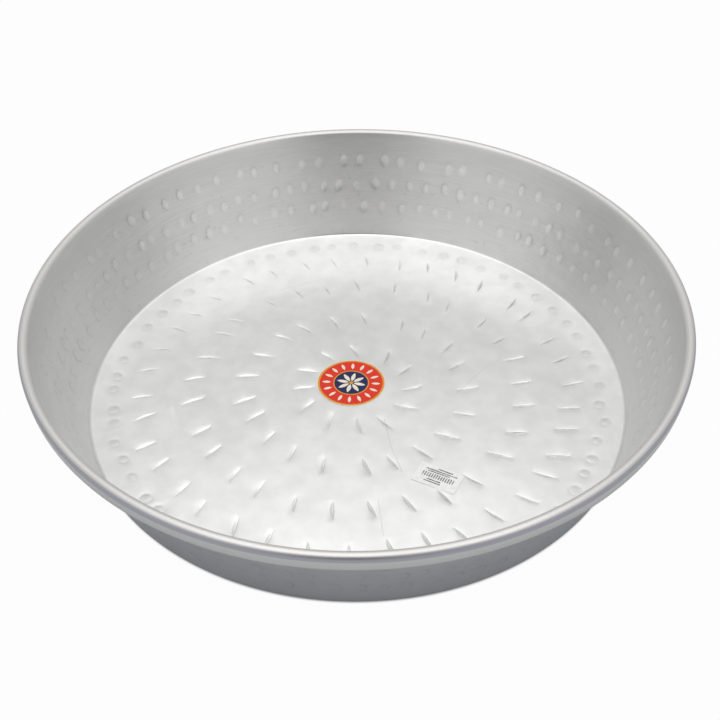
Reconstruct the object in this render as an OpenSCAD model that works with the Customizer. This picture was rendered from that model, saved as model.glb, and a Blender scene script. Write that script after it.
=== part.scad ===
// Dough kneading plate: a spun aluminium sheet with a flat floor, a flared wall and a rim rolled
// outward around a steel wire. The inside is covered with punched marks, and two paper labels lie on
// the floor. The origin is on the axis of the plate, at the level of its underside.

/* [Plate] */
// Diameter over the rolled rim
rim_d = 460; // [430:1:500]
// Height from the underside to the top of the rim
plate_h = 84; // [70:1:100]
// Diameter of the flat floor, inside the bend
floor_d = 384; // [360:1:395]
// Thickness of the sheet
sheet_t = 1.2; // [1:0.1:2]
// Inside radius of the bend between the floor and the wall
bend_r = 2.5; // [2:0.5:8]

/* [Rolled rim] */
// Diameter of the wire inside the rim
wire_d = 4.7; // [3:0.1:6]
// Gap all round between the wire and the sheet
wire_gap = 0.1; // [0.05:0.05:0.3]
// Gap between the two ends of the wire
wire_end_gap = 1; // [0.5:0.5:5]
// Length of the straight outer side of the rim, below the wire
side_l = 6.5; // [3:0.5:10]
// Lean of that side towards the wall, out of the upright
side_lean = 6; // [0:1:15]
// Angle at which the rolled edge closes onto the wall
tuck_angle = 45; // [35:1:60]
// Gap between the rolled edge and the wall
tuck_gap = 0.2; // [0.1:0.05:0.4]

/* [Chisel marks on the floor] */
// Length of a mark
mark_l = 16; // [8:0.5:18]
// Width of the gentle side of a mark
mark_gentle_w = 2; // [1:0.1:3]
// Width of the steep side of a mark
mark_steep_w = 1; // [0.5:0.1:2]
// Depth of a mark
mark_depth = 0.5; // [0.2:0.05:0.8]
// Turn of a mark out of the line to the axis, counter-clockwise
mark_turn = 15; // [0:1:25]
// Number of rings of marks
mark_rings = 4; // [2:1:5]
// Radius of the innermost ring
mark_first_r = 40; // [36:1:48]
// Distance from the outermost ring to the start of the bend
mark_inset = 37; // [28:0.5:40]
// Marks in the innermost ring
mark_first_count = 12; // [6:1:16]
// Marks that each ring has more than the one inside it
mark_count_step = 9; // [4:1:12]

/* [Labels] */
// Thickness of the labels
label_t = 0.15; // [0.1:0.05:0.3]
// Diameter of the round label
round_label_d = 50; // [30:1:60]
// Place of the round label on the floor
round_label_at = [-4.5, 6]; // [-10:1:10]
// Length of the price label
price_label_l = 32; // [20:1:40]
// Width of the price label
price_label_w = 19; // [10:1:25]
// Corner radius of the price label
price_label_r = 1; // [0.5:0.5:4]
// Place of the price label on the floor
price_label_at = [54, -91]; // [-100:1:100]
// Turn of the price label about the vertical
price_label_turn = -28; // [-90:1:90]

/* [Hidden] */
$fn = 96;
// The hollow that holds the wire, the outside of the roll around it, and the middle of both
hollow_r = wire_d / 2 + wire_gap;
roll_r = hollow_r + sheet_t;
roll_c = [rim_d / 2 - roll_r, plate_h - roll_r];
// The middle of the bend in the section of the sheet, and the bend's outside radius
bend_c = [floor_d / 2, sheet_t + bend_r];
bend_out_r = bend_r + sheet_t;
// The wall is the straight line that touches the bend from outside and the roll from inside
span = roll_c - bend_c;
wall_side = bend_r + roll_r;
wall_l = sqrt(norm(span) ^ 2 - wall_side ^ 2);
wall_slope = atan2(span[1], span[0]) + atan2(wall_side, wall_l);
// The middle of the lower turn of the rim, at the end of the straight side, and how much farther from the
// wall it is than the middle of the roll
turn_c = roll_c - side_l * [sin(side_lean), cos(side_lean)];
turn_away = side_l * sin(90 - wall_slope - side_lean);
// Length of the rolled edge below that turn, until it nearly meets the wall
tuck_l = (hollow_r * (1 + cos(tuck_angle)) + turn_away - tuck_gap) / sin(tuck_angle);
// Flat steps in the section of the bend, of the roll and of the lower turn
bend_steps = 10;
roll_steps = 20;
turn_steps = 8;
// Height of the pyramid that cuts a mark, in depths of the mark
cut_h = 2;

// Points along an arc
function arc(centre, r, from, to, steps) =
    [for (i = [0 : steps]) let (a = from + (to - from) * i / steps) centre + r * [cos(a), sin(a)]];

// Half of the section of the sheet: out along its lower face, around the wire, back along its upper face
module sheet_section() {
    top = wall_slope + 90;
    side = -side_lean;
    edge = wall_slope - 90 - tuck_angle;
    edge_end = turn_c + tuck_l * [sin(edge), -cos(edge)];
    edge_out = [cos(edge), sin(edge)];
    polygon(concat(
        [[0, 0]],
        arc(bend_c, bend_out_r, -90, wall_slope - 90, bend_steps),
        arc(roll_c, hollow_r, top, side, roll_steps),
        arc(turn_c, hollow_r, side, edge, turn_steps),
        [edge_end + hollow_r * edge_out, edge_end + roll_r * edge_out],
        arc(turn_c, roll_r, edge, side, turn_steps),
        arc(roll_c, roll_r, side, top, roll_steps),
        arc(bend_c, bend_r, wall_slope - 90, -90, bend_steps),
        [[0, sheet_t]]
    ));
}

// A chisel mark, cut by an upturned pyramid that is gentle on one side and steep on the other
module chisel_mark() {
    l = cut_h * mark_l / 2;
    gentle = cut_h * mark_gentle_w;
    steep = cut_h * mark_steep_w;
    top = (cut_h - 1) * mark_depth;
    polyhedron(
        points = [[-l, 0, top], [0, -gentle, top], [l, 0, top], [0, steep, top], [0, 0, -mark_depth]],
        faces = [[0, 1, 4], [1, 2, 4], [2, 3, 4], [3, 0, 4], [3, 2, 1, 0]]
    );
}

// Copies around the axis
module around(count) {
    for (i = [0 : count - 1]) rotate(i * 360 / count) children();
}

module floor_marks() {
    ring_step = (floor_d / 2 - mark_inset - mark_first_r) / (mark_rings - 1);
    for (i = [0 : mark_rings - 1])
        around(mark_first_count + i * mark_count_step)
            translate([mark_first_r + i * ring_step, 0, sheet_t]) rotate(mark_turn) chisel_mark();
}

module plate() {
    color("silver") difference() {
        rotate_extrude() sheet_section();
        floor_marks();
    }
}

module rim_wire() {
    end_angle = wire_end_gap / roll_c[0] * 180 / PI;
    color("gray") rotate_extrude(angle = 360 - end_angle) translate(roll_c) circle(d = wire_d);
}

module round_label() {
    color("firebrick") translate([round_label_at[0], round_label_at[1], sheet_t])
        cylinder(d = round_label_d, h = label_t);
}

module price_label() {
    l = price_label_l - 2 * price_label_r;
    w = price_label_w - 2 * price_label_r;
    color("white") translate([price_label_at[0], price_label_at[1], sheet_t])
        rotate(price_label_turn) linear_extrude(label_t) {
            square([price_label_l, w], center = true);
            square([l, price_label_w], center = true);
            for (x = [-l / 2, l / 2], y = [-w / 2, w / 2]) translate([x, y]) circle(price_label_r);
        }
}

plate();
rim_wire();
round_label();
price_label();
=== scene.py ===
"""Looks of a dough kneading plate: a spun aluminium sheet with punched marks, and two paper labels on it."""

import math
import random
from dataclasses import dataclass, replace

import bpy
import numpy as np
from mathutils import Matrix, Vector
from mathutils.geometry import delaunay_2d_cdt


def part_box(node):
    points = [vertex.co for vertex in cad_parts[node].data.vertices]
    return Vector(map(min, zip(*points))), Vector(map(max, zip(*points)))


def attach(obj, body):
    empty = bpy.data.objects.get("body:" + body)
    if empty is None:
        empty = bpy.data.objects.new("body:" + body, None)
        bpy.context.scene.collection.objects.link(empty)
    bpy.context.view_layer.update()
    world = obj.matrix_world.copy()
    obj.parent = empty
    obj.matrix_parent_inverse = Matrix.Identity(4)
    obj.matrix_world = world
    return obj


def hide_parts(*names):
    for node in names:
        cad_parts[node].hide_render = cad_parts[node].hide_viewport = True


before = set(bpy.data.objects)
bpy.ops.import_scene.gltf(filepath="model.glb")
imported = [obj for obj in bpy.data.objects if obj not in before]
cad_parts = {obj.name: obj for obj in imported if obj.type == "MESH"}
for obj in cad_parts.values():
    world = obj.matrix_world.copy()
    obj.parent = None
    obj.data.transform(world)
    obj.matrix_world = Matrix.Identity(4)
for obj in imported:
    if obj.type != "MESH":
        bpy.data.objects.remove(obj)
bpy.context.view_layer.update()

MM = 0.001
FULL_TURN = 2 * math.pi

# The sheet's section, the same as that of the CAD plate
_, plate_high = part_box("plate")
wire_low, wire_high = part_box("rim_wire")
SHEET = 1.2 * MM
FLOOR_R = 192 * MM
BEND_R = 2.5 * MM
WIRE_GAP = 0.1 * MM
SIDE_L = 6.5 * MM
SIDE_LEAN = math.radians(6)
TUCK_ANGLE = math.radians(45)
TUCK_GAP = 0.2 * MM
HOLLOW_R = (wire_high.z - wire_low.z) / 2 + WIRE_GAP
ROLL_R = HOLLOW_R + SHEET
ROLL_AT = np.array([plate_high.x - ROLL_R, plate_high.z - ROLL_R])
BEND_AT = np.array([FLOOR_R, SHEET + BEND_R])

# The wall is the straight line that touches the bend from outside and the roll from inside
span_r, span_z = ROLL_AT - BEND_AT
WALL_L = math.sqrt(span_r**2 + span_z**2 - (BEND_R + ROLL_R) ** 2)
WALL_SLOPE = math.atan2(span_z, span_r) + math.atan2(BEND_R + ROLL_R, WALL_L)

# The rim has a straight side below the roll, a lower turn, and an edge that closes onto the wall
TURN_AT = ROLL_AT - SIDE_L * np.array([math.sin(SIDE_LEAN), math.cos(SIDE_LEAN)])
TURN_AWAY = SIDE_L * math.sin(math.pi / 2 - WALL_SLOPE - SIDE_LEAN)
TUCK_L = (HOLLOW_R * (1 + math.cos(TUCK_ANGLE)) + TURN_AWAY - TUCK_GAP) / math.sin(TUCK_ANGLE)

# Distances along the section, from the axis: where the wall starts, and where it turns into the roll
WALL_FOOT = FLOOR_R + BEND_R * WALL_SLOPE
WALL_TOP = WALL_FOOT + WALL_L

# The underside is raised by this much, so that the backs of the marks stand on z = 0
UNDERSIDE_LIFT = 0.36 * MM
# How much of a mark's relief shows on the back of the floor and of the wall
FLOOR_BACK_SHARE = 0.45
WALL_BACK_SHARE = 0.9

# Chisel marks on the floor: slanting out of the line to the axis, broad and gentle on their clockwise side,
# steep on the other
CHISEL_L = 17 * MM
CHISEL_TURN = math.radians(15)
CHISEL_GENTLE_W = 2.1 * MM
CHISEL_STEEP_W = 0.8 * MM
CHISEL_DEPTH = 0.78 * MM
CHISEL_CURVE = 1.25
DIP_DEPTH = 0.17 * MM
DIP_L = 7.5 * MM
DIP_W = 5 * MM
# The chisel marks get fainter in this heading: by this share, between these distances from the axis
FAINT_HEADING = math.radians(125)
FAINT_SHARE = 0.6
FAINT_FROM = 40 * MM
FAINT_TO = 125 * MM
# They get painted shade, less and less towards this heading from the axis, between these cosines of the angle
# to it
UNSHADED_HEADING = math.radians(248)
UNSHADED_COSINES = (0.6, 0.9)
# Radius of each ring of chisel marks, how many it has, and the angle of the first
CHISEL_RINGS = ((40.5 * MM, 12, -2), (80 * MM, 21, -2), (120.5 * MM, 29, 1), (155.5 * MM, 38, 2))

# Round marks of a hollow punch at the edge of the floor: a groove at this share of the radius, its width, and
# how much deeper it is towards the axis
ROUND_R = 5.2 * MM
GROOVE_AT = 0.8
GROOVE_W = 0.24
GROOVE_DEPTH = 0.15 * MM
GROOVE_LEAN = 0.5
ROUND_RING = (178 * MM, 60)

# Oval dimples on the wall, in rows at these distances up the wall, with a flat middle of this share
OVAL_HALF_H = 5.8 * MM
OVAL_HALF_W = 3.7 * MM
OVAL_FLAT = 0.45
OVAL_DEPTH = 0.22 * MM
OVAL_ROWS = ((24 * MM, 85), (42 * MM, 92), (62 * MM, 77))

# Slow swells of the floor between the marks, which fade from this distance to the bend
SWELL = 0.05 * MM
SWELL_WAVE = 95 * MM
SWELL_UNTIL = 0.75 * FLOOR_R

# How fine the mesh is
GRID = 4.4 * MM
COLUMNS = 320
BEND_STEPS = 8
WALL_STEPS = 17
ROLL_STEPS = 18
TURN_STEPS = 5
HOLLOW_STEPS = 12
CHISEL_STATIONS = 11
CHISEL_SPAN = 0.94
CHISEL_LINES = (-1.06, -0.98, -0.88, -0.45, -0.1, -0.02, 0.1, 0.45, 0.9, 1.15)
ROUND_MESH = ((0.45, 8), (0.65, 14), (0.8, 16), (0.95, 16), (1.2, 16))
OVAL_MESH = ((0.3, 6), (0.55, 10), (0.78, 14), (1, 16), (1.15, 16))
# The even grid stays clear of the marks: of a chisel mark's length and two sides, and of a dimple's radius
CLEAR_L = 0.56
CLEAR_GENTLE = 1.5
CLEAR_STEEP = 2.2
CLEAR_DIMPLE = 1.4
# Points of a net that are closer to each other than this are merged
MERGE_MM = 1e-4
# Edges between faces that meet at more than this angle look sharp
SHARP_ANGLE = math.radians(50)


def fade(x, start=0, end=1):
    """A smooth step from 0 to 1 while x goes from start to end."""
    share = np.clip((x - start) / (end - start), 0, 1)
    return share * share * (3 - 2 * share)


def section(along):
    """Radius, height and normal of the upper face of the sheet, at distances along its section."""
    bend = np.clip((along - FLOOR_R) / BEND_R, 0, WALL_SLOPE)
    wall = np.clip(along - WALL_FOOT, 0, None)
    r = np.minimum(along, FLOOR_R) + BEND_R * np.sin(bend) + wall * math.cos(WALL_SLOPE)
    z = SHEET + BEND_R * (1 - np.cos(bend)) + wall * math.sin(WALL_SLOPE)
    return r, z, -np.sin(bend), np.cos(bend)


@dataclass
class Punch:
    """A punched mark: its form, where its middle lies along and around the sheet, its turn, size and
    strength, and how much painted highlight, above 0, or painted shade, below 0, its colour gets."""

    form: str
    along: float
    around: float
    turn: float
    size: float
    strength: float
    wear_and_painted_light: float

    def radius(self):
        return float(section(np.array(self.along))[0])

    def local(self, along, around):
        """Distances from the mark's middle: outward along its own axis, and counter-clockwise across it."""
        up = along - self.along
        across = np.angle(np.exp(1j * (around - self.around))) * self.radius()
        c, s = math.cos(self.turn), math.sin(self.turn)
        return (c * up + s * across) / self.size, (c * across - s * up) / self.size

    def place(self, up, across):
        """The opposite of local: points on the sheet from distances in the mark's own axes."""
        c, s = math.cos(self.turn), math.sin(self.turn)
        along = self.along + self.size * (c * up - s * across)
        around = self.around + self.size * (s * up + c * across) / self.radius()
        return np.stack([along, around], 1)


@dataclass
class Scatter:
    """How far marks made by hand stray from an even ring."""

    along: float
    around: float
    turn: float
    size: tuple
    strength: tuple


CHISEL_SCATTER = Scatter(1.4 * MM, 0.16, 0.09, (0.9, 1.08), (0.76, 1.05))
ROUND_SCATTER = Scatter(1 * MM, 0.16, 0.2, (0.86, 1.06), (0.45, 1.15))
OVAL_SCATTER = Scatter(1.1 * MM, 0.2, 0.12, (0.82, 1.1), (0.3, 1.1))
# How much painted highlight, above 0, or painted shade, below 0, the marks get
MARK_PAINTED_LIGHT = {"chisel": -0.85, "round": -0.4, "oval": 0.7}
# The oval dimples get painted highlight, more and more towards this heading, between these cosines of
# the angle to it
HIGHLIGHT_HEADING = math.radians(60)
HIGHLIGHT_COSINES = (-2 / 3, 1)
# They have an outline of painted shade: how strong it is, and its place and width as shares of their size
OUTLINE_PAINTED_SHADE = 0.65
OUTLINE_AT = 0.85
OUTLINE_W = 0.2
# How strong that outline is all around, and how much more at its counter-clockwise side and at its top
OUTLINE_EVEN = 0.6
OUTLINE_ACROSS = 0.4
OUTLINE_UP = 0.3
# The painted shade of a round mark fades between these shares of its radius
ROUND_SHADE_EDGE = (0.6, 1.1)


def row_of_punches(rng, form, along, count, start, turn, scatter):
    """A ring of marks: even, but each a little out of place, turned, smaller or larger, fainter or deeper."""
    step = FULL_TURN / count
    return [
        Punch(
            form=form,
            along=along + rng.gauss(0, scatter.along),
            around=start + step * (i + rng.uniform(-1, 1) * scatter.around),
            turn=turn + rng.gauss(0, scatter.turn),
            size=rng.uniform(*scatter.size),
            strength=rng.uniform(*scatter.strength),
            wear_and_painted_light=MARK_PAINTED_LIGHT[form],
        )
        for i in range(count)
    ]


def faded_shaded_chisel(punch):
    """The chisel mark, fainter the farther it lies in the faint heading, and with less painted shade near the
    unshaded heading.
    """
    far = punch.along * math.cos(punch.around - FAINT_HEADING)
    left = 1 - FAINT_SHARE * fade(far, FAINT_FROM, FAINT_TO)
    # Painted shade in the mark, taken away towards the unshaded heading
    darkening = 1 - fade(math.cos(punch.around - UNSHADED_HEADING), *UNSHADED_COSINES)
    return replace(punch, strength=left * punch.strength, wear_and_painted_light=darkening * punch.wear_and_painted_light)


def highlighted_oval(punch):
    """The oval dimple, with less painted highlight the farther it lies from the highlight heading."""
    highlight = fade(math.cos(punch.around - HIGHLIGHT_HEADING), *HIGHLIGHT_COSINES)
    return replace(punch, wear_and_painted_light=highlight * punch.wear_and_painted_light)


def all_punches():
    """Every mark of the plate, the same on each run."""
    rng = random.Random(7)
    punches = []
    for radius, count, first in CHISEL_RINGS:
        start = math.radians(first)
        row = row_of_punches(rng, "chisel", radius, count, start, CHISEL_TURN, CHISEL_SCATTER)
        punches += [faded_shaded_chisel(punch) for punch in row]
    punches += row_of_punches(rng, "round", *ROUND_RING, 0, 0, ROUND_SCATTER)
    for up_wall, count in OVAL_ROWS:
        start = rng.uniform(0, FULL_TURN / count)
        row = row_of_punches(rng, "oval", WALL_FOOT + up_wall, count, start, 0, OVAL_SCATTER)
        punches += [highlighted_oval(punch) for punch in row]
    return punches


def chisel_form(up, across):
    """Depth of a chisel mark, from 0 to 1: a broad side, steepest at its edge, and a short steep side."""
    room = np.clip(1 - (2 * up / CHISEL_L) ** 2, 0, 1)
    wide = np.where(across < 0, CHISEL_GENTLE_W, CHISEL_STEEP_W) * np.maximum(room, 1e-6)
    share = np.clip(np.abs(across) / wide, 0, 1)
    return room * np.where(across < 0, 1 - share**CHISEL_CURVE, 1 - fade(share))


def round_form(up, across):
    """Depth of a round mark, as a share: a ring-shaped groove that is deeper on one side."""
    share = np.hypot(up, across) / ROUND_R
    lean = 1 - GROOVE_LEAN * np.clip(up / ROUND_R, -1, 1)
    return lean * np.exp(-(((share - GROOVE_AT) / GROOVE_W) ** 2))


def oval_form(up, across):
    """Depth of an oval dimple, from 0 to 1: a flat middle and a rounded rim."""
    share = np.hypot(up / OVAL_HALF_H, across / OVAL_HALF_W)
    return 1 - fade(share, OVAL_FLAT)


def round_shade(up, across):
    """Where a round mark gets painted shade: all over, fading at its edge."""
    return 1 - fade(np.hypot(up, across) / ROUND_R, *ROUND_SHADE_EDGE)


def oval_outline(up, across):
    """The painted shade along the outline of an oval dimple, stronger at its top and its counter-clockwise
    side.
    """
    share = np.hypot(up / OVAL_HALF_H, across / OVAL_HALF_W)
    lean = OUTLINE_EVEN + OUTLINE_ACROSS * across / OVAL_HALF_W + OUTLINE_UP * up / OVAL_HALF_H
    return np.clip(lean, 0, 1) * np.exp(-(((share - OUTLINE_AT) / OUTLINE_W) ** 2))


# The relief of each form of mark, the shape of its painted shade or highlight, and its depth
FORMS = {"chisel": chisel_form, "round": round_form, "oval": oval_form}
PAINTED_LIGHT_SHAPES = {"chisel": chisel_form, "round": round_shade, "oval": oval_form}
DEPTHS = {"chisel": CHISEL_DEPTH, "round": GROOVE_DEPTH, "oval": OVAL_DEPTH}
# Half height, half width and mesh rings of the dimples
DIMPLES = {"round": (ROUND_R, ROUND_R, ROUND_MESH), "oval": (OVAL_HALF_H, OVAL_HALF_W, OVAL_MESH)}


def sharp_depth(punch, along, around):
    """Depth of the mark itself."""
    return punch.strength * DEPTHS[punch.form] * FORMS[punch.form](*punch.local(along, around))


def dip_depth(punch, along, around):
    """Depth of the soft dip that a chisel mark pulls into the sheet around it."""
    up, across = punch.local(along, around)
    return punch.strength * DIP_DEPTH * np.exp(-((up / DIP_L) ** 2) - (across / DIP_W) ** 2)


def soft_height(punches, along, around):
    """Height of the sheet without its sharp marks: the swells of the floor and the dips around the marks."""
    x, y = along * np.cos(around), along * np.sin(around)
    wave = FULL_TURN / SWELL_WAVE
    swell = np.sin(wave * x + 1.3) * np.sin(wave * y + 0.4) + np.sin(0.6 * wave * (x - y) + 2)
    height = SWELL * swell * (1 - fade(along, SWELL_UNTIL, FLOOR_R))
    for punch in punches:
        if punch.form == "chisel":
            height -= dip_depth(punch, along, around)
    return height


def punch_points(punch):
    """Mesh points that follow the form of a mark."""
    if punch.form == "chisel":
        up = np.linspace(-CHISEL_SPAN, CHISEL_SPAN, CHISEL_STATIONS) * CHISEL_L / 2
        room = 1 - (2 * up / CHISEL_L) ** 2
        sides = [CHISEL_GENTLE_W if line < 0 else CHISEL_STEEP_W for line in CHISEL_LINES]
        rows = [punch.place(up, line * side * room) for line, side in zip(CHISEL_LINES, sides)]
        ends = punch.place(np.array([-CHISEL_L / 2, CHISEL_L / 2]), np.zeros(2))
        return np.concatenate([*rows, ends])
    half_up, half_across, mesh_rings = DIMPLES[punch.form]
    rows = [punch.place(np.zeros(1), np.zeros(1))]
    for i, (share, count) in enumerate(mesh_rings):
        turn = (np.arange(count) + 0.5 * (i % 2)) * FULL_TURN / count
        rows.append(punch.place(share * half_up * np.cos(turn), share * half_across * np.sin(turn)))
    return np.concatenate(rows)


def taken(punch, along, around):
    """Where a mark's own points replace those of the even grid."""
    up, across = punch.local(along, around)
    if punch.form == "chisel":
        wide = np.where(across < 0, CLEAR_GENTLE * CHISEL_GENTLE_W, CLEAR_STEEP * CHISEL_STEEP_W)
        return (np.abs(up) < CLEAR_L * CHISEL_L) & (np.abs(across) < wide)
    half_up, half_across, _ = DIMPLES[punch.form]
    return np.hypot(up / half_up, across / half_across) < CLEAR_DIMPLE


def ring(along, count, shift=0.0):
    """Evenly spaced points around the sheet."""
    return np.stack([np.full(count, along), (np.arange(count) + shift) * FULL_TURN / count], 1)


def grid_points():
    """An even grid over the floor, the bend and the wall."""
    rows = [np.zeros((1, 2))]
    for k in range(1, int(FLOOR_R / GRID)):
        rows.append(ring(k * GRID, max(6, round(FULL_TURN * k)), 0.5 * (k % 2)))
    for k in range(BEND_STEPS + 1):
        rows.append(ring(FLOOR_R + (WALL_FOOT - FLOOR_R) * k / BEND_STEPS, COLUMNS))
    for k in range(1, WALL_STEPS + 1):
        rows.append(ring(WALL_FOOT + WALL_L * k / WALL_STEPS, COLUMNS, 0.5 * (k % 2) * (k < WALL_STEPS)))
    return np.concatenate(rows)


def joined(points):
    """Points of a plane, in the order that a net of triangles has them, and its triangles."""
    made, _, triangles, *_ = delaunay_2d_cdt([Vector(p / MM) for p in points], [], [], 0, MERGE_MM)
    return np.array([tuple(p) for p in made]) * MM, triangles


def sheet_net(punches):
    """Points on the sheet, along and around, and the triangles that join them."""
    grid = grid_points()
    keep = np.ones(len(grid), bool)
    for punch in punches:
        keep &= ~taken(punch, grid[:, 0], grid[:, 1])
    points = np.concatenate([grid[keep]] + [punch_points(p) for p in punches])
    along, around = points.T
    made, triangles = joined(np.stack([along * np.cos(around), along * np.sin(around)], 1))
    x, y = made.T
    return np.hypot(x, y), np.arctan2(y, x), triangles


def sheet_faces(punches, along, around):
    """Places of the points on the upper face and on the back of the sheet."""
    depth = np.zeros(len(along))
    for punch in punches:
        depth += sharp_depth(punch, along, around)
    height = soft_height(punches, along, around) - depth
    r, z, n_r, n_z = section(along)
    thick = SHEET - UNDERSIDE_LIFT * np.clip((WALL_FOOT - along) / (WALL_FOOT - FLOOR_R), 0, 1)
    back_share = np.where(along < FLOOR_R, FLOOR_BACK_SHARE, WALL_BACK_SHARE)
    faces = []
    for move in (height, back_share * height - thick):
        fr, fz = r + move * n_r, np.maximum(z + move * n_z, 0)
        faces.append(np.stack([fr * np.cos(around), fr * np.sin(around), fz], 1))
    return faces


def mark_painted_light(punches, along, around):
    """How much painted highlight, above 0, or painted shade, below 0, each point of the upper face gets."""
    total = np.zeros(len(along))
    for punch in punches:
        up, across = punch.local(along, around)
        # Painted shade in the chisel and round marks, painted highlight on the ovals, and painted shade along
        # their outlines
        total += punch.wear_and_painted_light * PAINTED_LIGHT_SHAPES[punch.form](up, across)
        if punch.form == "oval":
            total -= punch.strength * OUTLINE_PAINTED_SHADE * oval_outline(up, across)
    return np.clip(total, -1, 1)


def roll_section():
    """Points of the rim's section: its outside, from the wall to the edge, and its inside, back again."""
    top, side, edge = WALL_SLOPE + math.pi / 2, -SIDE_LEAN, WALL_SLOPE - math.pi / 2 - TUCK_ANGLE
    edge_out = np.array([math.cos(edge), math.sin(edge)])
    edge_end = TURN_AT + TUCK_L * np.array([math.sin(edge), -math.cos(edge)])

    def arc(middle, r, start, end, steps):
        return [middle + r * np.array([math.cos(a), math.sin(a)]) for a in np.linspace(start, end, steps + 1)]

    def one_face(r, steps):
        around_wire = arc(ROLL_AT, r, top, side, steps)
        lower_turn = arc(TURN_AT, r, side, edge, TURN_STEPS)
        return around_wire + lower_turn + [edge_end + r * edge_out]

    return one_face(ROLL_R, ROLL_STEPS), one_face(HOLLOW_R, HOLLOW_STEPS)[::-1]


def lengths(points):
    """Distances from the first of some points to each of them, along the line through them."""
    steps = np.linalg.norm(np.diff(points, axis=0), axis=1)
    return np.concatenate([[0], np.cumsum(steps)])


# Name of the mesh attribute that says where the sheet gets painted highlight and painted shade
PAINTED_LIGHT_ATTRIBUTE = "wear_and_painted_light"

# Places of the plate's two sides in the square that its textures are baked to: middle and radius of a disc
UPPER_DISC = (0.41, 0.59, 0.4)
BACK_DISC = (0.82, 0.18, 0.17)


def disc_map(along, around, disc):
    """A disc of the baking square that shows one side of the sheet as if it were spread flat."""
    x, y, radius = disc
    out = radius * along / along.max()
    return np.stack([x + out * np.cos(around), y + out * np.sin(around)], 1)


def add_bake_map(mesh, along, around, on_upper):
    """The map for baking: the corners on the upper side go to one of its discs, the others to the other."""
    corners = np.empty(len(mesh.loops), int)
    mesh.loops.foreach_get("vertex_index", corners)
    upper_map = disc_map(along, around, UPPER_DISC)[corners]
    back_map = disc_map(along, around, BACK_DISC)[corners]
    layer = mesh.uv_layers.new(name="OFBake")
    layer.uv.foreach_set("vector", np.where(on_upper[:, None], upper_map, back_map).ravel())


def plate_mesh(punches):
    """The whole sheet as one closed mesh: its upper face, its back, and the rim that joins them."""
    along, around, triangles = sheet_net(punches)
    upper, back = sheet_faces(punches, along, around)
    count = len(along)

    # The rim starts at the points along the top of the wall
    edge = np.flatnonzero(along > WALL_TOP - 0.01 * MM)
    edge = edge[np.argsort(around[edge])]
    turn = around[edge]
    outside, inside = roll_section()
    rings = [
        np.stack([p[0] * np.cos(turn), p[0] * np.sin(turn), np.full(len(turn), p[1])], 1)
        for p in outside[1:] + inside[:-1]
    ]
    places = np.concatenate([upper, back, *rings])
    numbers = [edge]
    for i in range(len(rings)):
        numbers.append(2 * count + i * len(edge) + np.arange(len(edge)))
    numbers.append(edge + count)
    faces = [tuple(t) for t in triangles]
    faces += [tuple(i + count for i in reversed(t)) for t in triangles]
    for low, high in zip(numbers[:-1], numbers[1:]):
        strip = np.stack([low, high, np.roll(high, -1), np.roll(low, -1)], 1)
        faces += [tuple(q) for q in strip.tolist()]
    mesh = bpy.data.meshes.new("spun_plate")
    mesh.from_pydata(places.tolist(), [], faces)

    # On the map for baking, the rim's outside belongs to the upper side
    out_along = WALL_TOP + lengths(outside)[1:]
    in_along = WALL_TOP + lengths(inside[::-1])[:0:-1]
    ring_along = np.repeat(np.concatenate([out_along, in_along]), len(edge))
    every_along = np.concatenate([along, along, ring_along])
    every_around = np.concatenate([around, around, np.tile(turn, len(rings))])
    on_upper = np.zeros(len(mesh.loops), bool)
    on_upper[: 3 * len(triangles)] = True
    first_strip = 6 * len(triangles)
    on_upper[first_strip : first_strip + 4 * len(edge) * len(out_along)] = True
    add_bake_map(mesh, every_along, every_around, on_upper)

    # The painted shade and highlight of the marks, with all their backs darker
    wear_and_painted_light = mark_painted_light(punches, along, around)
    wear_and_painted_light = np.concatenate([wear_and_painted_light, -np.abs(wear_and_painted_light), np.zeros(len(ring_along))])
    mesh.attributes.new(PAINTED_LIGHT_ATTRIBUTE, "FLOAT", "POINT").data.foreach_set("value", wear_and_painted_light)

    mesh.shade_smooth()
    mesh.set_sharp_from_angle(angle=SHARP_ANGLE)
    return mesh


# Labels: their mesh, the gap under them, how far their edges lift, and from which share of their size
LABEL_RINGS = (0.94, 0.85, 0.7, 0.55, 0.4, 0.2)
LABEL_GAP = 0.03 * MM
LABEL_CURL = 0.12 * MM
CURL_FROM = 0.75
DISC_STEPS = 120
CARD_L = 32 * MM
CARD_W = 19 * MM
CARD_CORNER = 1 * MM
CARD_TURN = math.radians(-28)
STICKER_TURN = math.radians(7)


def disc_outline(radius):
    """Points around a circle."""
    turn = np.arange(DISC_STEPS) * FULL_TURN / DISC_STEPS
    return radius * np.stack([np.cos(turn), np.sin(turn)], 1)


def card_outline():
    """A rectangle with rounded corners, with points along its sides too."""
    half = np.array([CARD_L, CARD_W]) / 2 - CARD_CORNER
    points = []
    for k, corner in enumerate(((1, 1), (-1, 1), (-1, -1), (1, -1))):
        for turn in np.linspace(k, k + 1, 6) * math.pi / 2:
            points.append(half * corner + CARD_CORNER * np.array([math.cos(turn), math.sin(turn)]))
        side = half * 2 * ((-1, 0), (0, -1), (1, 0), (0, 1))[k]
        points += [points[-1] + side * share for share in np.linspace(0, 1, 16)[1:-1]]
    return np.array(points)


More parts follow.
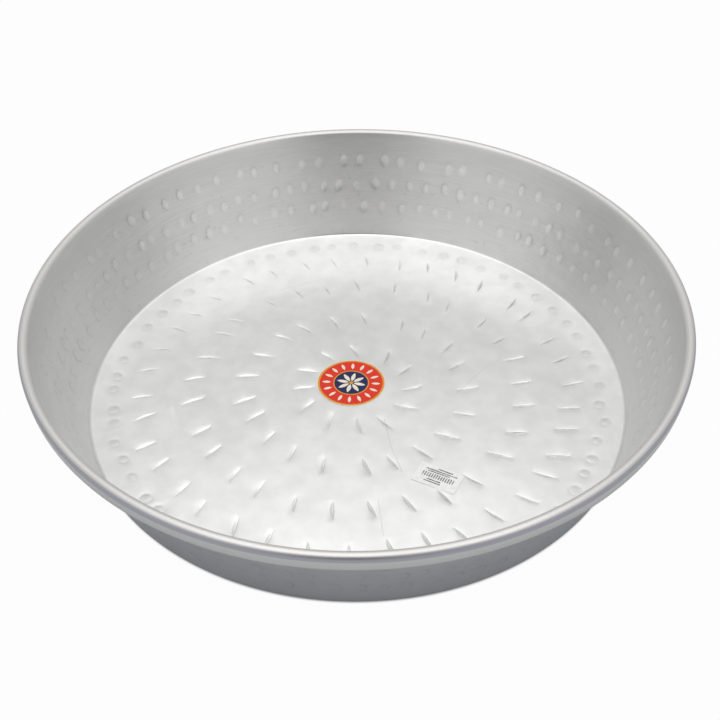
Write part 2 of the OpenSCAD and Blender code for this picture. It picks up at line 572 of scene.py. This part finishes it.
def label_mesh(name, punches, outline, at, turn, thick):
    """A thin closed sheet that follows the floor, with its edge lifted a little here and there."""
    points = np.concatenate([outline] + [outline * share for share in LABEL_RINGS] + [np.zeros((1, 2))])
    reach = np.repeat([1, *LABEL_RINGS], len(outline))
    reach = np.append(reach, 0)
    _, triangles = joined(points)
    c, s = math.cos(turn), math.sin(turn)
    x = at.x + c * points[:, 0] - s * points[:, 1]
    y = at.y + s * points[:, 0] + c * points[:, 1]
    lifted = 0.5 + 0.5 * np.sin(2 * np.arctan2(points[:, 1], points[:, 0]) + 0.7)
    z = soft_height(punches, np.hypot(x, y), np.arctan2(y, x)) + LABEL_GAP
    z += LABEL_CURL * lifted * fade(reach, CURL_FROM)
    count, edge = len(points), np.arange(len(outline))
    places = np.concatenate([np.column_stack([points, z + thick]), np.column_stack([points, z])])
    faces = [tuple(t) for t in triangles]
    faces += [tuple(i + count for i in reversed(t)) for t in triangles]
    after = np.roll(edge, -1)
    faces += [tuple(q) for q in np.stack([edge, edge + count, after + count, after], 1).tolist()]
    mesh = bpy.data.meshes.new(name)
    mesh.from_pydata(places.tolist(), [], faces)
    mesh.validate()
    mesh.shade_smooth()
    mesh.set_sharp_from_angle(angle=SHARP_ANGLE)
    return mesh


def piece(name, mesh, material, node, at=(0, 0, 0), turn=0.0):
    """An object of the part that stands for a CAD node and rides on the root body."""
    obj = bpy.data.objects.new(name, mesh)
    obj.location = at
    obj.rotation_euler.z = turn
    bpy.context.scene.collection.objects.link(obj)
    bpy.context.view_layer.update()
    mesh.materials.append(material)
    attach(obj, "root")
    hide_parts(node)
    return obj


class Nodes:
    """Adds nodes to a tree. An input takes a plain value, which is set, or an output, which is linked."""

    def __init__(self, tree):
        self.tree = tree

    def put(self, socket, value):
        if isinstance(value, bpy.types.NodeSocket):
            self.tree.links.new(value, socket)
        else:
            socket.default_value = value

    def add(self, kind, inputs=None, **settings):
        made = self.tree.nodes.new("ShaderNode" + kind)
        for name, value in settings.items():
            setattr(made, name, value)
        for key, value in (inputs or {}).items():
            self.put(made.inputs[key], value)
        return made.outputs

    def math(self, operation, *values):
        return self.add("Math", dict(enumerate(values)), operation=operation)[0]

    def vector(self, operation, *values):
        made = self.add("VectorMath", dict(enumerate(values)), operation=operation)
        return made["Value"] if operation in ("LENGTH", "DISTANCE", "DOT_PRODUCT") else made["Vector"]

    def fade(self, value, start, end, low=0.0, high=1.0):
        """A smooth change from low to high while the value goes from start to end."""
        inputs = {"Value": value, "From Min": start, "From Max": end, "To Min": low, "To Max": high}
        return self.add("MapRange", inputs, interpolation_type="SMOOTHSTEP")["Result"]

    def noise(self, where, scale, detail=2.0):
        return self.add("TexNoise", {"Vector": where, "Scale": scale, "Detail": detail})[0]

    def clamp(self, value):
        return self.add("Clamp", {"Value": value})[0]

    def mix(self, share, below, above):
        """A colour between two colours, which are inputs 6 and 7 of the node. Its colour output is 2."""
        return self.add("Mix", {0: share, 6: below, 7: above}, data_type="RGBA")[2]

    def bump(self, height_mm):
        return self.add("Bump", {"Height": height_mm, "Distance": MM})["Normal"]


def new_material(name):
    """A material, its nodes and the inputs of its shader."""
    material = bpy.data.materials.new(name)
    material.use_nodes = True
    return material, Nodes(material.node_tree), material.node_tree.nodes["Principled BSDF"].inputs


def stroke(nodes, where, start, end, half_w):
    """1 along a straight stroke on the floor, falling to 0 at its sides. Its ends are in millimetres."""
    start, end = Vector((*start, 0)) * MM, Vector((*end, 0)) * MM
    run = end - start
    offset = nodes.vector("SUBTRACT", where, start)
    share = nodes.vector("DOT_PRODUCT", offset, run / run.length_squared)
    share = nodes.clamp(share)
    nearest = nodes.add("VectorMath", {0: run, "Scale": share}, operation="SCALE")["Vector"]
    return nodes.fade(nodes.vector("DISTANCE", offset, nearest), 0, half_w, 1, 0)


# Fine scratches and one broad pale scuff on the floor: both ends in millimetres, and half the width
SCRATCHES = (
    ((19, -33), (23, -60), 0.45 * MM),
    ((23, -60), (30, -85), 0.4 * MM),
    ((13, -110), (16, -143), 0.35 * MM),
    ((-62, 118), (-30, 131), 0.3 * MM),
    ((96, 22), (71, -8), 0.25 * MM),
)
SCUFF = ((-135, -17), (-123, -57), 2.6 * MM)
SCRATCH_DEPTH_MM = 0.03

# Colours and roughness of the aluminium, from its dullest to its cleanest places
DULL, CLEAN = (0.78, 0.78, 0.77, 1), (0.84, 0.84, 0.832, 1)
SCRATCHED = (0.64, 0.64, 0.64, 1)
ROUGH_CLEAN, ROUGH_DULL = 0.285, 0.34
WALL_ROUGHER = 0.04
RIM_ROUGHER = 0.08
SCUFF_ROUGHER = 0.25
RIM_DULL = (0.7, 0.69, 0.67, 1)
# Colour of the band of painted shade on the rim's outer shoulder
RIM_SHOULDER_SHADE = (0.47, 0.47, 0.51, 1)
# Colours of the painted highlight on the ovals and the wall's foot, and of the dark specks and the painted
# shade
PAINTED_HIGHLIGHT, SPECKS_AND_PAINTED_SHADE = (0.96, 0.96, 0.95, 1), (0.55, 0.55, 0.54, 1)
# Small dark specks on the wall, and the share of its turning lines in its tint
SPECKS = 0.35
WALL_LINED = 0.8
# Painted highlight on the wall towards its foot and painted shade towards its top: by how much, and between
# which heights
FOOT_PAINTED_HIGHLIGHT = 0.25
FOOT_Z = (4 * MM, 36 * MM)
TOP_PAINTED_SHADE = 0.22
TOP_Z = (52 * MM, 78 * MM)
# Where the wall starts, where the rim does, and the rim's outer shoulder, which gets a band of painted shade
WALL_R = (FLOOR_R, FLOOR_R + 2 * BEND_R)
RIM_R = (ROLL_AT[0] - ROLL_R, ROLL_AT[0] - ROLL_R / 2)
SHOULDER_R = (ROLL_AT[0] + 0.5 * ROLL_R, ROLL_AT[0] + 0.8 * ROLL_R)
SHOULDER_Z = (ROLL_AT[1] - 0.4 * ROLL_R, ROLL_AT[1])

# Noises in the aluminium: how fine and how detailed they are
NOISES = {
    "grain": (900, 2),
    "clouds": (15, 5),
    "patches": (70, 3),
    "scuff": (420, 3),
    "mark_painted_light": (330, 3),
    "specks": (240, 4),
}
# The values of a noise between which its effect sets in, and for the marks' painted shade and highlight the
# strengths too
CLOUDED = (0.35, 0.65)
MOTTLED = (0.3, 0.7)
SCUFFED = (0.35, 0.6)
SPECKLED = (0.62, 0.74)
PAINTED_LIGHT_BROKEN = (0.3, 0.65, 0.5, 1.1)

# Turning lines of the spinning tool: lines per metre, how often they break around the plate, and their relief
TURNING_LINES = 700
TURNING_BREAKS = 9
FLOOR_LINES_MM = 0.0015
WALL_LINES_MM = 0.006
GRAIN_MM = 0.001


def aluminium(name):
    """Satin spun aluminium: turning lines, fine grain, clouds of handling marks, scratches and a scuff, with
    painted shade and highlight in its marks, on its wall and on its rim's shoulder.
    """
    material, nodes, shader = new_material(name)
    where = nodes.add("TexCoord")["Object"]
    flat = nodes.vector("MULTIPLY", where, (1, 1, 0))
    radius = nodes.vector("LENGTH", flat)
    height = nodes.add("SeparateXYZ", {0: where})["Z"]
    wall = nodes.fade(radius, *WALL_R)
    noise = {use: nodes.noise(where, *setting) for use, setting in NOISES.items()}

    reach = nodes.math("MULTIPLY", nodes.math("ADD", radius, height), TURNING_LINES)
    across = nodes.add("CombineXYZ", {"Z": reach})[0]
    heading = nodes.vector("MULTIPLY", nodes.vector("NORMALIZE", flat), (TURNING_BREAKS,) * 3)
    lines = nodes.noise(nodes.vector("ADD", heading, across), 1, 3)

    scratches = None
    for start, end, half_w in SCRATCHES:
        mask = stroke(nodes, flat, start, end, half_w)
        scratches = nodes.math("MAXIMUM", scratches, mask) if scratches else mask
    scuff = nodes.math("MULTIPLY", stroke(nodes, flat, *SCUFF), nodes.fade(noise["scuff"], *SCUFFED))

    wall_tint = nodes.math("MULTIPLY", wall, nodes.math("SUBTRACT", lines, noise["patches"]))
    mottled = nodes.math("MULTIPLY_ADD", wall_tint, WALL_LINED, noise["patches"])
    tint = nodes.mix(nodes.fade(mottled, *MOTTLED), DULL, CLEAN)
    # Painted shade in the chisel and round marks and along the ovals' outlines, painted highlight on the
    # ovals, broken by a noise
    wear_and_painted_light = nodes.add("Attribute", attribute_name=PAINTED_LIGHT_ATTRIBUTE)["Fac"]
    wear_and_painted_light = nodes.math("MULTIPLY", wear_and_painted_light, nodes.fade(noise["mark_painted_light"], *PAINTED_LIGHT_BROKEN))
    # Painted highlight on the wall, towards its foot
    foot = nodes.math("MULTIPLY", wall, nodes.fade(height, *FOOT_Z, FOOT_PAINTED_HIGHLIGHT, 0))
    tint = nodes.mix(nodes.clamp(nodes.math("MAXIMUM", wear_and_painted_light, foot)), tint, PAINTED_HIGHLIGHT)
    # Dark specks on the wall, painted shade towards its top, and the marks' painted shade, all in one colour
    specks = nodes.math("MULTIPLY", wall, nodes.fade(noise["specks"], *SPECKLED, 0, SPECKS))
    top_shade = nodes.math("MULTIPLY", wall, nodes.fade(height, *TOP_Z, 0, TOP_PAINTED_SHADE))
    darkening = nodes.math("SUBTRACT", nodes.math("MAXIMUM", specks, top_shade), wear_and_painted_light)
    tint = nodes.mix(nodes.clamp(darkening), tint, SPECKS_AND_PAINTED_SHADE)
    rim = nodes.fade(radius, *RIM_R)
    tint = nodes.mix(rim, tint, RIM_DULL)
    # A band of painted shade on the rim's outer shoulder
    shoulder = nodes.math("MULTIPLY", nodes.fade(radius, *SHOULDER_R), nodes.fade(height, *SHOULDER_Z))
    tint = nodes.mix(shoulder, tint, RIM_SHOULDER_SHADE)
    nodes.put(shader["Base Color"], nodes.mix(scratches, tint, SCRATCHED))
    nodes.put(shader["Metallic"], 1.0)

    rough = nodes.fade(noise["clouds"], *CLOUDED, ROUGH_CLEAN, ROUGH_DULL)
    rough = nodes.math("MULTIPLY_ADD", wall, WALL_ROUGHER, rough)
    rough = nodes.math("MULTIPLY_ADD", rim, RIM_ROUGHER, rough)
    rough = nodes.math("MULTIPLY_ADD", scuff, SCUFF_ROUGHER, rough)
    nodes.put(shader["Roughness"], rough)

    line_relief = nodes.fade(radius, *WALL_R, FLOOR_LINES_MM, WALL_LINES_MM)
    relief = nodes.math("MULTIPLY", lines, line_relief)
    relief = nodes.math("MULTIPLY_ADD", noise["grain"], GRAIN_MM, relief)
    relief = nodes.math("MULTIPLY_ADD", scratches, -SCRATCH_DEPTH_MM, relief)
    nodes.put(shader["Normal"], nodes.bump(relief))
    return material


# The wire: its lines per metre and their relief, its colours, and its roughness and how that varies
WIRE_LINES = 4000
WIRE_LINES_MM = 0.01
STEEL_DARK, STEEL_BRIGHT = (0.5, 0.5, 0.51, 1), (0.6, 0.6, 0.61, 1)
STEEL_ROUGH = (0.25, 0.4)
STEEL_NOISE = (90, 3)


def drawn_steel(name):
    """Bright wire with fine lines along its length."""
    material, nodes, shader = new_material(name)
    where = nodes.add("TexCoord")["Object"]
    flat = nodes.vector("MULTIPLY", where, (1, 1, 0))
    height = nodes.add("SeparateXYZ", {0: where})["Z"]
    reach = nodes.math("SUBTRACT", nodes.vector("LENGTH", flat), height)
    reach = nodes.math("MULTIPLY", reach, WIRE_LINES)
    across = nodes.add("CombineXYZ", {"Z": reach})[0]
    lines = nodes.noise(nodes.vector("ADD", nodes.vector("NORMALIZE", flat), across), 1, 3)
    nodes.put(shader["Base Color"], nodes.mix(lines, STEEL_DARK, STEEL_BRIGHT))
    nodes.put(shader["Metallic"], 1.0)
    nodes.put(shader["Roughness"], nodes.fade(nodes.noise(where, *STEEL_NOISE), *MOTTLED, *STEEL_ROUGH))
    nodes.put(shader["Normal"], nodes.bump(nodes.math("MULTIPLY", lines, WIRE_LINES_MM)))
    return material


# Inks and paper of the labels
RED = (0.76, 0.03, 0.008, 1)
GOLD = (0.75, 0.34, 0.035, 1)
NAVY = (0.008, 0.014, 0.085, 1)
CREAM = (0.88, 0.8, 0.66, 1)
PAPER = (0.9, 0.9, 0.885, 1)
BLACK_INK = (0.03, 0.03, 0.032, 1)
# Softness of a printed edge, and a noise by which the card's print is worn, from which strength to which
PRINT_EDGE = 0.12 * MM
PRINT_NOISE = (700, 3)
PRINT_WORN = (0.3, 0.6, 0.45, 0.95)
# Noises in both labels: how fine and how detailed they are
LABEL_NOISES = {"ink": (260, 4), "finish": (120, 3), "fibres": (3000, 2), "waves": (90, 2)}
# Brightness of the ink from place to place, and the relief of the paper's fibres and of its waves
INK_UNEVEN = (0.93, 1.04)
FIBRES_MM = 0.004
WAVES_MM = 0.05
# Roughness of the two labels where they are smoothest, how much more it gets, and how strongly they mirror
STICKER_ROUGH = 0.32
CARD_ROUGH = 0.55
PAPER_ROUGHER = 0.12
PAPER_SPECULAR = 0.3

# The sticker's print, from its middle: a knob, a rosette in a navy disc with a gold line around it, and a
# wreath in the red field
KNOB_R = 1.5 * MM
ROSETTE = {"count": 8, "at": 6.3 * MM, "half_l": 4.5 * MM, "half_w": 1.5 * MM}
NAVY_R = 12.4 * MM
GOLD_LINE_R = 13.2 * MM
WREATH = {"count": 16, "at": 18.2 * MM, "half_l": 3.3 * MM, "half_w": 1.15 * MM}
FIELD_R = 23.2 * MM
TRIM_R = 24.7 * MM


def leaves(nodes, radius, angle, count, at, half_l, half_w):
    """1 on a ring of evenly spaced pointed leaves."""
    cell = nodes.math("FRACT", nodes.math("MULTIPLY", angle, count / FULL_TURN))
    turn = nodes.math("MULTIPLY", nodes.math("SUBTRACT", cell, 0.5), FULL_TURN / count)
    aside = nodes.math("MULTIPLY", nodes.math("ABSOLUTE", turn), radius)
    along = nodes.math("DIVIDE", nodes.math("SUBTRACT", radius, at), half_l)
    room = nodes.math("SUBTRACT", 1.0, nodes.math("MULTIPLY", along, along))
    inside = nodes.math("SUBTRACT", nodes.math("MULTIPLY", room, half_w), aside)
    return nodes.fade(inside, -PRINT_EDGE, PRINT_EDGE)


def paper_finish(nodes, shader, where, colour, rough):
    """The grain, uneven ink and slight waviness that both labels share."""
    noise = {use: nodes.noise(where, *setting) for use, setting in LABEL_NOISES.items()}
    uneven = nodes.fade(noise["ink"], *MOTTLED, *INK_UNEVEN)
    nodes.put(shader["Base Color"], nodes.add("HueSaturation", {"Value": uneven, "Color": colour})[0])
    nodes.put(shader["Roughness"], nodes.fade(noise["finish"], *MOTTLED, rough, rough + PAPER_ROUGHER))
    nodes.put(shader["Specular IOR Level"], PAPER_SPECULAR)
    waves = nodes.math("MULTIPLY", noise["waves"], WAVES_MM)
    nodes.put(shader["Normal"], nodes.bump(nodes.math("MULTIPLY_ADD", noise["fibres"], FIBRES_MM, waves)))


def printed_sticker(name):
    """A round sticker printed with a plain rosette and wreath."""
    material, nodes, shader = new_material(name)
    where = nodes.add("TexCoord")["Object"]
    radius = nodes.vector("LENGTH", nodes.vector("MULTIPLY", where, (1, 1, 0)))
    axes = nodes.add("SeparateXYZ", {0: where})
    angle = nodes.math("ARCTAN2", axes["Y"], axes["X"])

    def within(r):
        return nodes.fade(radius, r - PRINT_EDGE, r + PRINT_EDGE, 1, 0)

    colour = nodes.mix(within(TRIM_R), PAPER, GOLD)
    colour = nodes.mix(within(FIELD_R), colour, RED)
    colour = nodes.mix(leaves(nodes, radius, angle, **WREATH), colour, CREAM)
    colour = nodes.mix(within(GOLD_LINE_R), colour, GOLD)
    colour = nodes.mix(within(NAVY_R), colour, NAVY)
    colour = nodes.mix(leaves(nodes, radius, angle, **ROSETTE), colour, CREAM)
    colour = nodes.mix(within(KNOB_R), colour, GOLD)
    paper_finish(nodes, shader, where, colour, STICKER_ROUGH)
    return material


# The card's print: a row of even bars, and thin rules as (middle x, middle y, half length)
BARS_HALF = (12.2 * MM, 2.1 * MM)
BAR_STEP = 0.85 * MM
RULES = (
    (2.5 * MM, 7.2 * MM, 5.5 * MM), (0.5 * MM, 5.2 * MM, 11.5 * MM), (-1 * MM, 3.5 * MM, 8 * MM),
    (-1.5 * MM, -3.9 * MM, 5 * MM), (-2 * MM, -5.8 * MM, 6 * MM),
)
RULE_HALF_W = 0.48 * MM


def paper_card(name):
    """A small white paper label with plain even bars and rules."""
    material, nodes, shader = new_material(name)
    where = nodes.add("TexCoord")["Object"]
    axes = nodes.add("SeparateXYZ", {0: where})

    def box(x, y, half_l, half_w):
        sides = []
        for value, middle, half in ((axes["X"], x, half_l), (axes["Y"], y, half_w)):
            away = nodes.math("ABSOLUTE", nodes.math("SUBTRACT", value, middle))
            sides.append(nodes.fade(away, half - PRINT_EDGE, half + PRINT_EDGE, 1, 0))
        return nodes.math("MULTIPLY", *sides)

    stripes = nodes.math("PINGPONG", axes["X"], BAR_STEP)
    stripes = nodes.fade(stripes, BAR_STEP / 2 - PRINT_EDGE, BAR_STEP / 2 + PRINT_EDGE)
    ink = nodes.math("MULTIPLY", stripes, box(0, 0, *BARS_HALF))
    for x, y, half_l in RULES:
        ink = nodes.math("MAXIMUM", ink, box(x, y, half_l, RULE_HALF_W))
    wear_and_painted_light = nodes.fade(nodes.noise(where, *PRINT_NOISE), *PRINT_WORN)
    colour = nodes.mix(nodes.math("MULTIPLY", ink, wear_and_painted_light), PAPER, BLACK_INK)
    paper_finish(nodes, shader, where, colour, CARD_ROUGH)
    return material


# Levels of the room, where 1 is white: all around, low on the camera's side, and above the camera
BACKDROP = 0.66
CAMERA_SIDE = 0.56
ABOVE_CAMERA = 0.06
# Where the first changes to the second, and the edges of the dark place above the camera, along the axes
ROOM_Y = (-0.95, 0.3)
DARK_Y = (-0.3, -0.6)
DARK_Z = (0.07, 0.3)
DARK_ASIDE = (0.5, 0.2)
# Softboxes: what each adds to the room behind it, its size and its place
SOFTBOXES = {
    "overhead": (0.95, (2.1, 1.7), (0, -0.15, 1.7)),
    "back_light": (0.68, (1, 0.66), (0, 1.07, 1.68)),
    "back_left_light": (0.3, (0.8, 0.8), (-1.05, 1.3, 1.7)),
    "back_right_light": (0.3, (0.8, 0.8), (1.05, 1.3, 1.7)),
    "front_left_light": (0.35, (1.3, 1.1), (-0.85, -0.95, 0.94)),
    "front_right_light": (0.35, (1.3, 1.1), (0.85, -0.95, 0.94)),
}

# The stage floor is plain white to the camera, apart from a narrow contact shadow. The metal mirrors a part
# of that white, and for the rest the floor's own colour with the plate's shadow
STAGE_HALF = 4
STAGE_DROP = 0.3 * MM
STAGE_COLOUR = (0.5, 0.52, 0.55, 1)
STAGE_WHITE = 0.97
# Between these distances from the axis, in metres: the contact shadow ends, the metal starts to mirror white,
# its share of that white changes, and the floor fades to the level of the room
CONTACT_R = (0.193, 0.1958)
SHADOW_R = (0.24, 0.29)
FAR_R = (0.3, 0.42)
HORIZON_R = (1.2, 3.6)
# The share of the white that the metal mirrors, before and after that change
MIRRORED_NEAR, MIRRORED_FAR = 0.42, 0.34


def stage_floor():
    """A wide floor under the plate, with its white for the camera and for what mirrors it."""
    corners = [(x * STAGE_HALF, y * STAGE_HALF, 0) for x, y in ((-1, -1), (1, -1), (1, 1), (-1, 1))]
    mesh = bpy.data.meshes.new("stage_floor")
    mesh.from_pydata(corners, [], [(0, 1, 2, 3)])
    floor = bpy.data.objects.new("stage_floor", mesh)
    floor.location.z = -STAGE_DROP
    bpy.context.scene.collection.objects.link(floor)
    material, nodes, shader = new_material("stage_floor")
    nodes.put(shader["Base Color"], STAGE_COLOUR)
    nodes.put(shader["Roughness"], 0.9)
    nodes.put(shader["Specular IOR Level"], 0.0)
    path = nodes.add("LightPath")
    away = nodes.vector("LENGTH", nodes.add("TexCoord")["Object"])
    mirrored = nodes.fade(away, *FAR_R, MIRRORED_NEAR, MIRRORED_FAR)
    mirrored = nodes.math("MULTIPLY", mirrored, nodes.fade(away, *SHADOW_R))
    mirrors = nodes.math("MAXIMUM", path["Is Glossy Ray"], path["Is Transmission Ray"])
    seen = nodes.math("MULTIPLY", path["Is Camera Ray"], nodes.fade(away, *CONTACT_R, 0, STAGE_WHITE))
    share = nodes.math("MAXIMUM", seen, nodes.math("MULTIPLY", mirrors, mirrored))
    white = nodes.add("Emission", {"Strength": nodes.fade(away, *HORIZON_R, 1, BACKDROP)})[0]
    plain = nodes.tree.nodes["Principled BSDF"].outputs[0]
    surface = nodes.add("MixShader", {0: share, 1: plain, 2: white})[0]
    nodes.put(nodes.tree.nodes["Material Output"].inputs["Surface"], surface)
    mesh.materials.append(material)


def softbox(name, level, size, at):
    """A rectangular lamp that faces the plate and adds this level to what is behind it."""
    light = bpy.data.lights.new(name, "AREA")
    light.shape = "RECTANGLE"
    light.size, light.size_y = size
    light.energy = level * math.pi * light.size * light.size_y
    lamp = bpy.data.objects.new(name, light)
    lamp.location = at
    lamp.rotation_euler = Vector(at).to_track_quat("Z", "Y").to_euler()
    bpy.context.scene.collection.objects.link(lamp)


def studio():
    """A pale room that is dark above the camera, and the softboxes."""
    world = bpy.data.worlds.new("studio")
    bpy.context.scene.world = world
    world.use_nodes = True
    nodes = Nodes(world.node_tree)
    axes = nodes.add("SeparateXYZ", {0: nodes.add("TexCoord")["Generated"]})
    room = nodes.fade(axes["Y"], *ROOM_Y, CAMERA_SIDE, BACKDROP)
    aside = nodes.math("ABSOLUTE", axes["X"])
    dark = nodes.math("MULTIPLY", nodes.fade(axes["Y"], *DARK_Y), nodes.fade(axes["Z"], *DARK_Z))
    dark = nodes.math("MULTIPLY", dark, nodes.fade(aside, *DARK_ASIDE))
    change = nodes.math("MULTIPLY", dark, nodes.math("SUBTRACT", ABOVE_CAMERA, room))
    background = world.node_tree.nodes["Background"].inputs
    nodes.put(background["Color"], (1, 1, 1, 1))
    nodes.put(background["Strength"], nodes.math("ADD", room, change))
    for name, setting in SOFTBOXES.items():
        softbox(name, *setting)
    bpy.context.scene.view_settings.view_transform = "Standard"


# The photograph's camera: its focal length in pixels of a square frame, and where it stands
FRAME_PX = 720
FOCAL_PX = 1248.4
SENSOR_MM = 36
VIEW_ELEVATION = math.radians(42.19)
VIEW_ROLL = math.radians(-0.63)
VIEW_DISTANCE = 913.6 * MM
VIEW_AT = Vector((0, 0, 4.33 * MM))
VIEW_AT_PX = (357.3, 385.1)


def camera():
    """The camera, at the place from which the photograph was taken."""
    data = bpy.data.cameras.new("camera")
    data.sensor_width = SENSOR_MM
    data.lens = FOCAL_PX * SENSOR_MM / FRAME_PX
    obj = bpy.data.objects.new("camera", data)
    bpy.context.scene.collection.objects.link(obj)
    pan = math.atan((VIEW_AT_PX[0] - FRAME_PX / 2) / FOCAL_PX)
    tilt = math.atan((VIEW_AT_PX[1] - FRAME_PX / 2) / FOCAL_PX)
    turn = Matrix.Rotation(math.pi / 2 - VIEW_ELEVATION, 3, "X")
    back = turn @ Vector((0, 0, 1))
    turn = turn @ Matrix.Rotation(VIEW_ROLL, 3, "Z") @ Matrix.Rotation(pan, 3, "Y")
    turn = turn @ Matrix.Rotation(tilt, 3, "X")
    obj.matrix_world = Matrix.Translation(VIEW_AT + VIEW_DISTANCE * back) @ turn.to_4x4()
    bpy.context.scene.camera = obj


def label_place(node):
    """The middle of a label on the floor, and its size."""
    low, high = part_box(node)
    return Vector(((low.x + high.x) / 2, (low.y + high.y) / 2, SHEET)), high - low


punches = all_punches()
piece("spun_plate", plate_mesh(punches), aluminium("aluminium"), "plate")

at, size = label_place("round_label")
mesh = label_mesh("round_sticker", punches, disc_outline(size.x / 2), at, STICKER_TURN, size.z)
material = printed_sticker("printed_sticker")
piece("round_sticker", mesh, material, "round_label", at, STICKER_TURN)

at, size = label_place("price_label")
mesh = label_mesh("price_sticker", punches, card_outline(), at, CARD_TURN, size.z)
piece("price_sticker", mesh, paper_card("paper_card"), "price_label", at, CARD_TURN)

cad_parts["rim_wire"].material_slots[0].material = drawn_steel("drawn_steel")

stage_floor()
studio()
camera()
